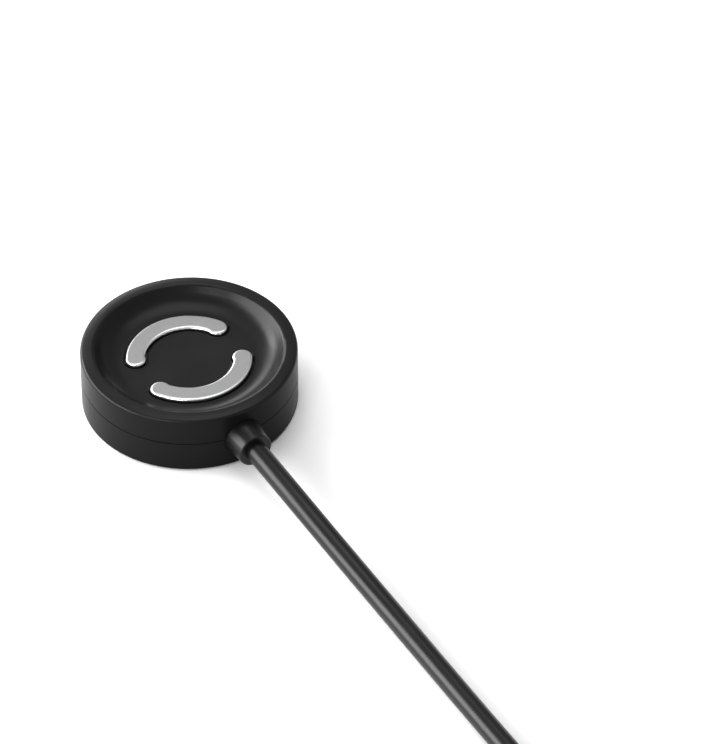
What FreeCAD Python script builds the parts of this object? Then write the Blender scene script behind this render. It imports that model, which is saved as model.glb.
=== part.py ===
import FreeCAD, Part

import math
import os

import Sketcher

# Round magnetic charging dock for a smartwatch, with its cord and power plug.
# Millimetres, +Z up. The origin is the middle of the dock's foot, on the table.
# The cord leaves the dock along -Y.

os.makedirs("parts", exist_ok=True)
doc = FreeCAD.newDocument("ChargingDock")
sheet = doc.addObject("Spreadsheet::Sheet", "Sizes")
V = FreeCAD.Vector
UP = V(0, 0, 1)


class Size:
    """A value together with the sheet expression that gives it."""

    def __init__(self, value, text):
        self.value = float(value)
        self.text = text

    def joined(self, other, sign, value):
        return Size(value, f"({self.text} {sign} {as_size(other).text})")

    def __add__(self, other):
        return self.joined(other, "+", self.value + as_size(other).value)

    def __sub__(self, other):
        return self.joined(other, "-", self.value - as_size(other).value)

    def __mul__(self, other):
        return self.joined(other, "*", self.value * as_size(other).value)

    def __truediv__(self, other):
        return self.joined(other, "/", self.value / as_size(other).value)

    def __neg__(self):
        return Size(-self.value, f"(0 - {self.text})")


def as_size(value):
    return value if isinstance(value, Size) else Size(value, f"{value}")


def sine(angle):
    return Size(math.sin(math.radians(angle.value)), f"sin({angle.text})")


def cosine(angle):
    return Size(math.cos(math.radians(angle.value)), f"cos({angle.text})")


def tangent(angle):
    return Size(math.tan(math.radians(angle.value)), f"tan({angle.text})")


def size(alias, value):
    """Writes one driving size into the next row of the sheet."""
    size.row += 1
    sheet.set(f"A{size.row}", alias)
    sheet.set(f"B{size.row}", f"{value}")
    sheet.setAlias(f"B{size.row}", alias)
    return Size(value, f"Sizes.{alias}")


size.row = 0

# Case: two moulded halves that meet at a seam round the side wall
case_radius = size("case_radius", 15.5)
foot_rise = size("foot_rise", 0.1)
wall = size("wall", 1.5)
rim_width = size("rim_width", 1.9)
rim_slope = size("rim_slope", 17)
base_thickness = size("base_thickness", 1.4)
seam_gap = size("seam_gap", 0.12)
seam_rise = size("seam_rise", 0.4)
rim_round = size("rim_round", 0.45)
base_round = size("base_round", 0.4)
lip_width = size("lip_width", 0.7)
lip_rise = size("lip_rise", 1.0)
lip_gap = size("lip_gap", 0.1)
snap_size = size("snap_size", 0.15)

# Seat for the watch: a flat floor that sweeps up to the rim
dish_curve = size("dish_curve", 3.73)
slope_run = size("slope_run", 0.862)
dish_slope = size("dish_slope", 50)
dish_wall = size("dish_wall", 1.2)
crest_round = size("crest_round", 0.6)

# Contact plates: two arcs with a lobe at each end, loose in their slots
plate_width = size("plate_width", 2.83)
plate_margin = size("plate_margin", 0.762)
lobe_bulge = size("lobe_bulge", 0.16)
lobe_angle = size("lobe_angle", 61.4)
plate_proud = size("plate_proud", 0.5)
plate_round = size("plate_round", 0.4)
notch_round = size("notch_round", 0.7)
slot_gap = size("slot_gap", 0.15)
slot_chamfer = size("slot_chamfer", 0.12)
flange_overlap = size("flange_overlap", 0.5)
flange_thickness = size("flange_thickness", 0.6)
flange_gap = size("flange_gap", 0.03)

# Leaf springs under the plates
spring_angle = size("spring_angle", 45)
spring_height = size("spring_height", 1.89)
spring_width = size("spring_width", 1.6)
spring_sheet = size("spring_sheet", 0.15)
spring_gap = size("spring_gap", 0.02)

# Magnet under the middle of the seat
magnet_inset = size("magnet_inset", 1.59)
magnet_clearance = size("magnet_clearance", 0.32)
magnet_chamfer = size("magnet_chamfer", 0.2)
magnet_gap = size("magnet_gap", 0.05)
magnet_rib = size("magnet_rib", 0.5)
rib_short = size("rib_short", 0.1)
yoke_thickness = size("yoke_thickness", 0.4)

# Circuit board on four posts with pins
board_thickness = size("board_thickness", 0.8)
board_clearance = size("board_clearance", 1.2)
board_gap = size("board_gap", 0.8)
board_notch_gap = size("board_notch_gap", 0.8)
board_notch_side = size("board_notch_side", 0.3)
post_inset = size("post_inset", 2.5)
post_radius = size("post_radius", 1.2)
pin_radius = size("pin_radius", 0.5)
pin_rise = size("pin_rise", 0.35)
pin_gap = size("pin_gap", 0.05)
chip_length = size("chip_length", 2.0)
chip_width = size("chip_width", 1.25)
chip_height = size("chip_height", 0.55)
chip_gap = size("chip_gap", 1.2)
chip_inset = size("chip_inset", 1.6)

# Non-slip pad in the base's recess
foot_width = size("foot_width", 3.5)
pad_depth = size("pad_depth", 0.4)
pad_gap = size("pad_gap", 0.1)
pad_chamfer = size("pad_chamfer", 0.1)

# Strain relief, clamped in a round hole across the seam
collar_root = size("collar_root", 2.87)
collar_taper = size("collar_taper", 0.32)
hole_floor = size("hole_floor", 0.19)
collar_reach = size("collar_reach", 3.5)
collar_round = size("collar_round", 0.25)
collar_gap = size("collar_gap", 0.04)
neck_step = size("neck_step", 0.67)
neck_start = size("neck_start", 0.15)
clamp_half = size("clamp_half", 3.6)
clamp_rise = size("clamp_rise", 0.48)
clamp_floor = size("clamp_floor", 0.25)
clamp_thickness = size("clamp_thickness", 0.9)
clamp_gap = size("clamp_gap", 0.65)
nose_step = size("nose_step", 0.8)
nose_length = size("nose_length", 1.25)

# Cord and its two conductors
cord_diameter = size("cord_diameter", 3.15)
wire_diameter = size("wire_diameter", 0.8)

# Hank: the put-away length, an oblong ring of two layers of turns
hank_centre_x = size("hank_centre_x", -14.9)
hank_centre_y = size("hank_centre_y", -121.7)
hank_straight = size("hank_straight", 32.6)
hank_inner = size("hank_inner", 8.6)
hank_width = size("hank_width", 9.6)
hank_height = size("hank_height", 6.4)
hank_round = size("hank_round", 1.4)

# Tie round one side of the hank
tie_width = size("tie_width", 7.0)
tie_sheet = size("tie_sheet", 0.5)
tie_gap = size("tie_gap", 0.05)
tie_offset = size("tie_offset", -8.3)

# Power plug, lying on the hank
plug_x = size("plug_x", 0.7)
plug_end = size("plug_end", -111.0)
boot_length = size("boot_length", 9.0)
boot_thin = size("boot_thin", 2.35)
boot_thick = size("boot_thick", 3.1)
boot_groove = size("boot_groove", 0.9)
boot_groove_depth = size("boot_groove_depth", 0.45)
boot_pitch = size("boot_pitch", 1.9)
grip_width = size("grip_width", 15.6)
grip_height = size("grip_height", 7.5)
grip_length = size("grip_length", 20.0)
grip_corner = size("grip_corner", 2.4)
shoulder_length = size("shoulder_length", 4.4)
shoulder_width = size("shoulder_width", 7.6)
shoulder_height = size("shoulder_height", 6.2)
shoulder_corner = size("shoulder_corner", 2.3)
grip_round = size("grip_round", 0.6)
rib_slot_width = size("rib_slot_width", 1.1)
rib_slot_half = size("rib_slot_half", 4.2)
rib_slot_depth = size("rib_slot_depth", 0.35)
rib_slot_pitch = size("rib_slot_pitch", 2.6)
rib_slot_start = size("rib_slot_start", 6.6)
shell_width = size("shell_width", 12.0)
shell_height = size("shell_height", 4.5)
shell_reach = size("shell_reach", 11.9)
shell_buried = size("shell_buried", 5.0)
shell_sheet = size("shell_sheet", 0.3)
shell_corner = size("shell_corner", 0.65)
window_width = size("window_width", 2.5)
window_length = size("window_length", 2.2)
window_back = size("window_back", 6.3)
tongue_thickness = size("tongue_thickness", 1.84)
tongue_back = size("tongue_back", 0.9)
tongue_gap = size("tongue_gap", 0.03)
block_length = size("block_length", 5.6)
contact_width = size("contact_width", 1.0)
contact_thickness = size("contact_thickness", 0.25)
contact_sunk = size("contact_sunk", 0.15)
contact_gap = size("contact_gap", 0.03)
contact_inner = size("contact_inner", 1.0)
contact_outer = size("contact_outer", 3.5)
contact_short = size("contact_short", 2.1)
contact_long = size("contact_long", 1.1)

# Heights inside the case, from the base up to the rim
base_top = foot_rise + base_thickness
board_height = base_top + board_clearance
board_top = board_height + board_thickness
flange_bottom = board_top + spring_height
flange_top = flange_bottom + flange_thickness
dish_under = flange_top + flange_gap
dish_floor = dish_under + dish_wall
curve_width = dish_curve * sine(dish_slope)
curve_top = dish_floor + dish_curve - dish_curve * cosine(dish_slope)
rim_height = curve_top + slope_run * tangent(dish_slope)
cord_axis = base_top + hole_floor + collar_gap + collar_root
seam_height = cord_axis + seam_rise
lip_top = seam_height + lip_rise
magnet_thickness = dish_under - board_top - yoke_thickness - magnet_clearance

# Radii and reaches, from the side wall inwards
inner_radius = case_radius - wall
lip_outer = inner_radius + lip_width
rim_inner = case_radius - rim_width
dish_flat = rim_inner - slope_run - curve_width
plate_outer = dish_flat - plate_margin
plate_inner = plate_outer - plate_width
lobe_radius = (plate_width + lobe_bulge) / 2
spring_circle = (plate_inner + plate_outer) / 2
magnet_radius = plate_inner - magnet_inset
board_radius = inner_radius - board_gap
post_circle = inner_radius - post_inset
pad_radius = case_radius - foot_width
collar_tip = case_radius + collar_reach
collar_end = collar_root - collar_taper
neck_radius = collar_root - neck_step
nose_radius = neck_radius - nose_step
clamp_back = inner_radius - clamp_gap
nose_end = clamp_back - clamp_thickness - nose_length

# Hank and plug
hank_outer = hank_inner + hank_width
tie_side = -(hank_inner + hank_width / 2)
tied_middle = hank_height / 2 + tie_sheet + tie_gap * 2
plug_axis = hank_height + grip_height / 2
grip_end = boot_length + grip_length
shell_start = grip_end - shell_buried
shell_end = grip_end + shell_reach
shell_inside_half = shell_height / 2 - shell_sheet

nodes = []


def new_body(label):
    body = doc.addObject("PartDesign::Body", label)
    body.Label = label
    nodes.append(body)
    return body


def bind(thing, prop, value):
    thing.setExpression(prop, as_size(value).text)


def plane(body, role):
    return next(f for f in body.Origin.OriginFeatures if f.Role == role)


def attach(thing, body, role, offset=None, across=None, along=None):
    """Lays a sketch or primitive on one of its body's own planes."""
    thing.AttachmentSupport = [(plane(body, role), "")]
    thing.MapMode = "FlatFace"
    for axis, value in (("x", across), ("y", along), ("z", offset)):
        if value is not None:
            bind(thing, f"AttachmentOffset.Base.{axis}", value)


def new_sketch(body, name, role="XY_Plane", offset=None, across=None, along=None):
    sketch = body.newObject("Sketcher::SketchObject", name)
    attach(sketch, body, role, offset, across, along)
    return sketch


def driven(sketch, value, kind, *where):
    """Adds a measured constraint whose value follows the sheet."""
    value = as_size(value)
    index = sketch.addConstraint(Sketcher.Constraint(kind, *where, value.value))
    sketch.setExpression(f"Constraints[{index}]", value.text)


def pin_point(sketch, edge, end, x=None, y=None):
    """Ties a point of the sketch to its origin, in one direction or in both."""
    for kind, axis, value in (("DistanceX", -2, x), ("DistanceY", -1, y)):
        if value is None:
            continue
        value = as_size(value)
        if abs(value.value) < 1e-9:
            sketch.addConstraint(Sketcher.Constraint("PointOnObject", edge, end, axis))
        elif value.value > 0:
            driven(sketch, value, kind, -1, 1, edge, end)
        else:
            driven(sketch, -value, kind, edge, end, -1, 1)


def flat(x, y):
    return V(as_size(x).value, as_size(y).value, 0)


def arc_edge(centre, start, end):
    """The arc round a centre that runs counter-clockwise from start to end."""
    first = math.atan2(start.y - centre.y, start.x - centre.x)
    last = math.atan2(end.y - centre.y, end.x - centre.x)
    circle = Part.Circle(centre, UP, (start - centre).Length)
    return Part.ArcOfCircle(circle, first, last)


def outline(sketch, corners, arcs=None):
    """Closed outline through the corners, taken in order.

    arcs gives, for the number of the corner that an arc starts from, its centre and
    whether it runs counter-clockwise. The height of an arc's end follows from the arc.
    """
    arcs = arcs or {}
    count = len(corners)
    ends = []
    for i, corner in enumerate(corners):
        start = flat(*corner)
        end = flat(*corners[(i + 1) % count])
        if i not in arcs:
            edge = sketch.addGeometry(Part.LineSegment(start, end))
            ends.append((edge, 1, 2))
            continue
        centre, counter_clockwise = arcs[i]
        if counter_clockwise:
            edge = sketch.addGeometry(arc_edge(flat(*centre), start, end))
            ends.append((edge, 1, 2))
        else:
            edge = sketch.addGeometry(arc_edge(flat(*centre), end, start))
            ends.append((edge, 2, 1))
        pin_point(sketch, edge, 3, *centre)
    for i, (edge, first, last) in enumerate(ends):
        after, start, _ = ends[(i + 1) % count]
        sketch.addConstraint(Sketcher.Constraint("Coincident", edge, last, after, start))
        x, y = corners[i]
        follows_arc = (i - 1) % count in arcs
        pin_point(sketch, edge, first, x, None if follows_arc else y)


def rectangle(sketch, left, right, bottom, top):
    outline(sketch, [(left, bottom), (right, bottom), (right, top), (left, top)])


def circle(sketch, radius, x=0, y=0):
    edge = sketch.addGeometry(Part.Circle(flat(x, y), UP, radius.value))
    driven(sketch, radius, "Radius", edge)
    pin_point(sketch, edge, 3, x, y)


def rounded_rectangle(sketch, width, height, corner):
    """Rectangle about the sketch's origin with tangent corner arcs."""
    half_w, half_h = width / 2, height / 2
    in_w, in_h = half_w - corner, half_h - corner
    # Counter-clockwise from the right-hand side: each side's two ends, and the arc after it
    sides = [
        ((half_w, -in_h), (half_w, in_h), (in_w, in_h)),
        ((in_w, half_h), (-in_w, half_h), (-in_w, in_h)),
        ((-half_w, in_h), (-half_w, -in_h), (-in_w, -in_h)),
        ((-in_w, -half_h), (in_w, -half_h), (in_w, -in_h)),
    ]
    lines, turns = [], []
    for i, (start, end, centre) in enumerate(sides):
        lines.append(sketch.addGeometry(Part.LineSegment(flat(*start), flat(*end))))
        after = sides[(i + 1) % 4][0]
        turns.append(sketch.addGeometry(arc_edge(flat(*centre), flat(*end), flat(*after))))
    for i in range(4):
        sketch.addConstraint(Sketcher.Constraint("Tangent", lines[i], 2, turns[i], 1))
        sketch.addConstraint(Sketcher.Constraint("Tangent", turns[i], 2, lines[(i + 1) % 4], 1))
    for i in (0, 2):
        sketch.addConstraint(Sketcher.Constraint("Vertical", lines[i]))
        sketch.addConstraint(Sketcher.Constraint("Horizontal", lines[i + 1]))
        sketch.addConstraint(Sketcher.Constraint("Equal", turns[0], turns[i + 1]))
    sketch.addConstraint(Sketcher.Constraint("Equal", turns[0], turns[2]))
    driven(sketch, corner, "Radius", turns[0])
    pin_point(sketch, lines[0], 1, x=half_w)
    pin_point(sketch, lines[2], 1, x=-half_w)
    pin_point(sketch, lines[1], 1, y=half_h)
    pin_point(sketch, lines[3], 1, y=-half_h)


def lobed_arc(sketch, inner, outer, lobe):
    """Arc band about +Y whose ends swell inwards into round lobes.

    Each lobe touches the outer arc from inside and crosses the inner arc.
    """
    reach = outer - lobe
    across = (reach.value**2 + inner.value**2 - lobe.value**2) / (2 * reach.value * inner.value)
    notch = math.degrees(math.acos(across))

    def at(radius, angle):
        turn = math.radians(90 - angle)
        return V(radius * math.cos(turn), radius * math.sin(turn), 0)

    angle = lobe_angle.value
    origin = V(0, 0, 0)
    right, left = at(reach.value, angle), at(reach.value, -angle)
    right_tip, left_tip = at(outer.value, angle), at(outer.value, -angle)
    right_notch, left_notch = at(inner.value, angle - notch), at(inner.value, notch - angle)
    back = sketch.addGeometry(arc_edge(origin, right_tip, left_tip))
    left_lobe = sketch.addGeometry(arc_edge(left, left_tip, left_notch))
    front = sketch.addGeometry(arc_edge(origin, right_notch, left_notch))
    right_lobe = sketch.addGeometry(arc_edge(right, right_notch, right_tip))
    for edge, radius in ((back, outer), (front, inner)):
        pin_point(sketch, edge, 3, 0, 0)
        driven(sketch, radius, "Radius", edge)
    for edge in (left_lobe, right_lobe):
        driven(sketch, lobe, "Radius", edge)
        pin_point(sketch, edge, 3, y=reach * cosine(lobe_angle))
    sketch.addConstraint(Sketcher.Constraint("Tangent", right_lobe, 2, back, 1))
    sketch.addConstraint(Sketcher.Constraint("Tangent", back, 2, left_lobe, 1))
    sketch.addConstraint(Sketcher.Constraint("Coincident", left_lobe, 2, front, 2))
    sketch.addConstraint(Sketcher.Constraint("Coincident", right_lobe, 1, front, 1))


def pad(body, sketch, length, name="Pad"):
    feature = body.newObject("PartDesign::Pad", name)
    feature.Profile = sketch
    bind(feature, "Length", length)
    return feature


def pocket(body, sketch, length, name="Pocket", forward=False):
    """Cuts against the sketch's normal, or along it when forward."""
    feature = body.newObject("PartDesign::Pocket", name)
    feature.Profile = sketch
    bind(feature, "Length", length)
    feature.Reversed = forward
    return feature


def revolve(body, sketch, name="Turned"):
    feature = body.newObject("PartDesign::Revolution", name)
    feature.Profile = sketch
    feature.ReferenceAxis = (sketch, ["V_Axis"])
    feature.Angle = 360
    return feature


def round_about(body, sketch, features, count, name):
    """Repeats features round the sketch's normal."""
    pattern = body.newObject("PartDesign::PolarPattern", name)
    pattern.Originals = features
    pattern.Axis = (sketch, ["N_Axis"])
    pattern.Angle = 360
    pattern.Occurrences = count
    body.Tip = pattern
    return pattern


def soften(body, wanted, radius, name, kind="Fillet"):
    """Rounds or chamfers the edges of the body so far for which wanted says yes."""
    doc.recompute()
    base = body.Tip
    names = [f"Edge{i + 1}" for i, e in enumerate(base.Shape.Edges) if wanted(e)]
    if not names:
        raise ValueError(f"{body.Label} {name}: no edges found")
    feature = body.newObject(f"PartDesign::{kind}", name)
    feature.Base = (base, names)
    bind(feature, "Radius" if kind == "Fillet" else "Size", radius)
    return feature


def middle(edge):
    return edge.valueAt((edge.FirstParameter + edge.LastParameter) / 2)


def ring(radius, height):
    """Picks full or part circles round the Z axis at a radius and height."""

    def wanted(edge):
        point = middle(edge)
        off = abs(math.hypot(point.x, point.y) - radius.value)
        return off < 1e-3 and abs(point.z - height.value) < 1e-3 and not is_upright(edge)

    return wanted


def is_upright(edge):
    ends = [v.Point for v in edge.Vertexes]
    return len(ends) == 2 and (ends[1] - ends[0]).cross(UP).Length < 1e-6


def place(body, x=0, y=0, z=0, turn=None):
    """Sets a body down, turned if need be, at a place that follows the sheet."""
    body.Placement = FreeCAD.Placement(V(0, 0, 0), turn or FreeCAD.Rotation())
    for axis, value in (("x", x), ("y", y), ("z", z)):
        bind(body, f"Placement.Base.{axis}", value)


LIE_DOWN = FreeCAD.Rotation(V(1, 0, 0), 90)  # local Z to -Y, local Y to +Z


def solid_node(label, shape):
    """Adds a piece whose shape is worked out here from the same sizes."""
    node = doc.addObject("Part::Feature", label)
    node.Label = label
    node.Shape = shape
    nodes.append(node)
    return node


def rim_crown():
    """Top of the rim, highest near its inner edge: two arcs that meet at the crest.

    Gives the outer edge, the crest, the inner end and the centres of both arcs.
    """
    reach = crest_round * tangent(dish_slope / 2)
    crest = (rim_inner + reach, rim_height)
    end = (rim_inner - reach * cosine(dish_slope), rim_height - reach * sine(dish_slope))
    crown_radius = (rim_width - reach) / sine(rim_slope)
    crown_centre = (crest[0], rim_height - crown_radius)
    edge = (case_radius, crown_centre[1] + crown_radius * cosine(rim_slope))
    return edge, crest, end, crown_centre, (crest[0], rim_height - crest_round)


def dish_curves():
    """Centre of the seat's two curved faces, and where each curve meets its slope."""
    centre = (dish_flat, dish_floor + dish_curve)
    lower_curve = dish_curve + dish_wall
    lower_end = (
        dish_flat + lower_curve * sine(dish_slope),
        dish_floor + dish_curve - lower_curve * cosine(dish_slope),
    )
    ceiling = lower_end[1] + (inner_radius - lower_end[0]) * tangent(dish_slope)
    return centre, (dish_flat + curve_width, curve_top), lower_end, ceiling


def make_top_housing():
    body = new_body("top_housing")
    centre, upper_end, lower_end, ceiling = dish_curves()
    rim_edge, crest, crest_end, crown_centre, crest_centre = rim_crown()
    rib_inner = magnet_radius + magnet_gap
    rib_outer = rib_inner + magnet_rib
    rib_end = dish_under - magnet_thickness + rib_short
    rebate = lip_outer + lip_gap
    seam_top = seam_height + seam_gap
    snap_middle = seam_height + lip_rise / 2
    snap_half = snap_size + lip_gap
    profile = new_sketch(body, "TopProfile", "XZ_Plane")
    corners = [
        (0, dish_under),
        (rib_inner, dish_under),
        (rib_inner, rib_end),
        (rib_outer, rib_end),
        (rib_outer, dish_under),
        (dish_flat, dish_under),
        lower_end,
        (inner_radius, ceiling),
        (inner_radius, lip_top + lip_gap),
        (rebate, lip_top + lip_gap),
        (rebate, snap_middle + snap_half),
        (rebate + snap_size, snap_middle),
        (rebate, snap_middle - snap_half),
        (rebate, seam_top),
        (case_radius, seam_top),
        rim_edge,
        crest,
        crest_end,
        upper_end,
        (dish_flat, dish_floor),
        (0, dish_floor),
    ]
    arcs = {
        5: (centre, True),
        15: (crown_centre, True),
        16: (crest_centre, True),
        18: (centre, False),
    }
    outline(profile, corners, arcs)
    revolve(body, profile, "TopShell")
    soften(body, ring(case_radius, rim_edge[1]), rim_round, "RimRound")
    slot = new_sketch(body, "SlotSketch", "XY_Plane", dish_floor)
    lobed_arc(slot, plate_inner - slot_gap, plate_outer + slot_gap, lobe_radius + slot_gap)
    cut = pocket(body, slot, dish_wall * 2, "Slot")
    round_about(body, slot, [cut], 2, "Slots")

    def slot_notch(edge):
        point = middle(edge)
        off = abs(math.hypot(point.x, point.y) - (plate_inner - slot_gap).value)
        return is_upright(edge) and off < 1e-3

    soften(body, slot_notch, notch_round, "NotchRound")

    def slot_lip(edge):
        point = middle(edge)
        on_floor = abs(point.z - dish_floor.value) < 1e-4 and edge.BoundBox.ZLength < 1e-4
        return on_floor and math.hypot(point.x, point.y) < dish_flat.value - 0.05

    soften(body, slot_lip, slot_chamfer, "SlotLip", "Chamfer")
    cord_hole(body)
    return body


def cord_hole(body):
    """Round hole through the side wall for the strain relief."""
    hole = body.newObject("PartDesign::SubtractiveCylinder", "CordHole")
    attach(hole, body, "XZ_Plane", inner_radius - wall / 2, along=cord_axis)
    bind(hole, "Radius", collar_root + collar_gap)
    bind(hole, "Height", wall * 2)


def make_bottom_cover():
    body = new_body("bottom_cover")
    snap_middle = seam_height + lip_rise / 2
    recess = foot_rise + pad_depth
    profile = new_sketch(body, "CoverProfile", "XZ_Plane")
    corners = [
        (0, recess),
        (pad_radius, recess),
        (pad_radius, foot_rise),
        (case_radius, foot_rise),
        (case_radius, seam_height),
        (lip_outer, seam_height),
        (lip_outer, snap_middle - snap_size),
        (lip_outer + snap_size, snap_middle),
        (lip_outer, snap_middle + snap_size),
        (lip_outer, lip_top),
        (inner_radius, lip_top),
        (inner_radius, base_top),
        (0, base_top),
    ]
    outline(profile, corners)
    revolve(body, profile, "CoverShell")
    soften(body, ring(case_radius, foot_rise), base_round, "BaseRound")
    post_x = post_circle * cosine(spring_angle)
    post_y = post_circle * sine(spring_angle)
    posts = new_sketch(body, "PostSketch", "XY_Plane", base_top - base_thickness / 2)
    circle(posts, post_radius, post_x, post_y)
    post = pad(body, posts, board_height - base_top + base_thickness / 2, "Post")
    pins = new_sketch(body, "PinSketch", "XY_Plane", base_top)
    circle(pins, pin_radius, post_x, post_y)
    pin = pad(body, pins, board_top + pin_rise - base_top, "Pin")
    round_about(body, pins, [post, pin], 4, "Posts")
    cord_hole(body)
    return body


def make_base_pad():
    body = new_body("base_pad")
    disc = new_sketch(body, "PadSketch")
    circle(disc, pad_radius - pad_gap)
    pad(body, disc, foot_rise + pad_depth, "PadDisc")
    soften(body, ring(pad_radius - pad_gap, as_size(0)), pad_chamfer, "PadEdge", "Chamfer")
    return body


def make_contact_plate(label, turn):
    body = new_body(label)
    flange = new_sketch(body, "FlangeSketch", "XY_Plane", flange_bottom)
    lobed_arc(
        flange,
        plate_inner - flange_overlap,
        plate_outer + flange_overlap,
        lobe_radius + flange_overlap,
    )
    pad(body, flange, flange_thickness, "Flange")
    face = new_sketch(body, "PlateSketch", "XY_Plane", flange_bottom)
    lobed_arc(face, plate_inner, plate_outer, lobe_radius)
    pad(body, face, dish_floor + plate_proud - flange_bottom, "Plate")
    top = (dish_floor + plate_proud).value

    def plate_notch(edge):
        point = middle(edge)
        off = abs(math.hypot(point.x, point.y) - plate_inner.value)
        return is_upright(edge) and off < 1e-3 and point.z > flange_top.value

    soften(body, plate_notch, notch_round, "NeckRound")
    soften(body, lambda e: e.BoundBox.ZMin > top - 1e-4, plate_round, "PlateRound")
    place(body, turn=FreeCAD.Rotation(UP, turn))
    return body


def smooth_path(points, share=0.45):
    """Straight runs joined by tangent arcs, and the radius of each arc.

    An arc takes up to the given share of the shorter run beside it.
    """
    edges, radii = [], []
    last = points[0]
    for before, corner, after in zip(points, points[1:], points[2:]):
        back = (before - corner).normalize()
        ahead = (after - corner).normalize()
        half_turn = (math.pi - back.getAngle(ahead)) / 2
        cut = share * min((before - corner).Length, (after - corner).Length)
        radius = cut / math.tan(half_turn)
        first, end = corner + back * cut, corner + ahead * cut
        bisector = (back + ahead).normalize()
        centre = corner + bisector * (radius / math.cos(half_turn))
        top = centre - bisector * radius
        edges.append(Part.LineSegment(last, first).toShape())
        edges.append(Part.Arc(first, top, end).toShape())
        radii.append(radius)
        last = end
    edges.append(Part.LineSegment(last, points[-1]).toShape())
    return Part.Wire(edges), radii


def make_tube(label, points, diameter):
    """Round tube along a route, with its tightest arc and volume printed."""
    path, radii = smooth_path(points)
    section = Part.Wire(Part.Circle(points[0], points[1] - points[0], diameter / 2).toShape())
    shape = path.makePipeShell([section], True, False)
    expected = math.pi * diameter**2 / 4 * path.Length
    print(label, "length", round(path.Length, 2), "arc radii", [round(r, 1) for r in radii])
    print(label, "volume over section times length", round(shape.Volume / expected, 5))
    return solid_node(label, shape)


def make_contact_spring(label, turn):
    """Bent strip: a foot on the board, a tight return bend and a rising arm."""
    sheet_half = spring_sheet.value / 2
    crest = (flange_bottom - board_top - spring_gap - spring_sheet).value
    bend = crest * 0.45
    route = [(-1.2, 0), (1.2, 0), (1.2, bend), (0.3, bend), (-0.8, crest), (-1.9, crest)]
    route.append((-2.3, crest - 0.35))
    path, _ = smooth_path([V(x, 0, z + sheet_half) for x, z in route])
    half = spring_width.value / 2
    start = V(route[0][0], 0, sheet_half)
    corners = [V(0, -half, -sheet_half), V(0, half, -sheet_half), V(0, half, sheet_half)]
    corners.append(V(0, -half, sheet_half))
    section = Part.makePolygon([start + c for c in corners + corners[:1]])
    node = solid_node(label, path.makePipeShell([section], True, False))
    spot = FreeCAD.Rotation(UP, turn).multVec(V(0, -spring_circle.value, board_top.value))
    node.Placement = FreeCAD.Placement(spot, FreeCAD.Rotation(UP, turn))
    return node


def make_circuit_board():
    body = new_body("circuit_board")
    disc = new_sketch(body, "BoardSketch", "XY_Plane", board_height)
    circle(disc, board_radius)
    pad(body, disc, board_thickness, "BoardDisc")
    notch = new_sketch(body, "BoardNotchSketch", "XY_Plane", board_top)
    half = clamp_half + board_notch_side
    rectangle(notch, -half, half, -board_radius * 1.1, board_notch_gap - nose_end)
    pocket(body, notch, board_thickness * 2, "BoardNotch")
    holes = new_sketch(body, "PinHoleSketch", "XY_Plane", board_top)
    hole_x = post_circle * cosine(spring_angle)
    circle(holes, pin_radius + pin_gap, hole_x, post_circle * sine(spring_angle))
    hole = pocket(body, holes, board_thickness * 2, "PinHole")
    round_about(body, holes, [hole], 4, "PinHoles")
    return body


def make_chip(label, x):
    """Small brick part soldered near the board's edge, with its left end at x."""
    chip = doc.addObject("Part::Box", label)
    chip.Label = label
    bind(chip, "Length", chip_length)
    bind(chip, "Width", chip_width)
    bind(chip, "Height", chip_height)
    place(chip, x, board_radius - chip_inset - chip_width, board_top)
    nodes.append(chip)
    return chip


def make_magnet():
    body = new_body("magnet")
    disc = new_sketch(body, "MagnetSketch", "XY_Plane", dish_under - magnet_thickness)
    circle(disc, magnet_radius)
    pad(body, disc, magnet_thickness, "MagnetDisc")
    on_face = lambda e: abs(e.BoundBox.ZLength) < 1e-6
    soften(body, on_face, magnet_chamfer, "MagnetEdge", "Chamfer")
    return body


def make_magnet_yoke():
    body = new_body("magnet_yoke")
    bottom = dish_under - magnet_thickness - yoke_thickness
    disc = new_sketch(body, "YokeSketch", "XY_Plane", bottom)
    circle(disc, magnet_radius)
    pad(body, disc, yoke_thickness, "YokeDisc")
    return body


def make_strain_relief():
    """Moulded on the cord: nose, clamp plate, neck, and the collar that shows."""
    body = new_body("strain_relief")
    clamp_above = dish_under + clamp_rise - cord_axis
    clamp_below = cord_axis - base_top - clamp_floor
    neck = nose_length + clamp_thickness
    shoulder = inner_radius + neck_start - nose_end
    at_wall = case_radius - nose_end
    tip = collar_tip - nose_end
    profile = new_sketch(body, "CollarProfile", "XZ_Plane")
    corners = [
        (0, 0),
        (nose_radius, 0),
        (nose_radius, nose_length),
        (neck_radius, nose_length),
        (neck_radius, shoulder),
        (collar_root, shoulder),
        (collar_root, at_wall),
        (collar_end, tip),
        (0, tip),
    ]
    outline(profile, corners)
    revolve(body, profile, "Collar")
    plate = new_sketch(body, "ClampSketch", "XY_Plane", nose_length)
    rectangle(plate, -clamp_half, clamp_half, -clamp_below, clamp_above)
    pad(body, plate, neck - nose_length, "Clamp")
    soften(body, ring(collar_end, tip), collar_round, "CollarRound")
    place(body, 0, -nose_end, cord_axis, LIE_DOWN)
    return body


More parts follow.
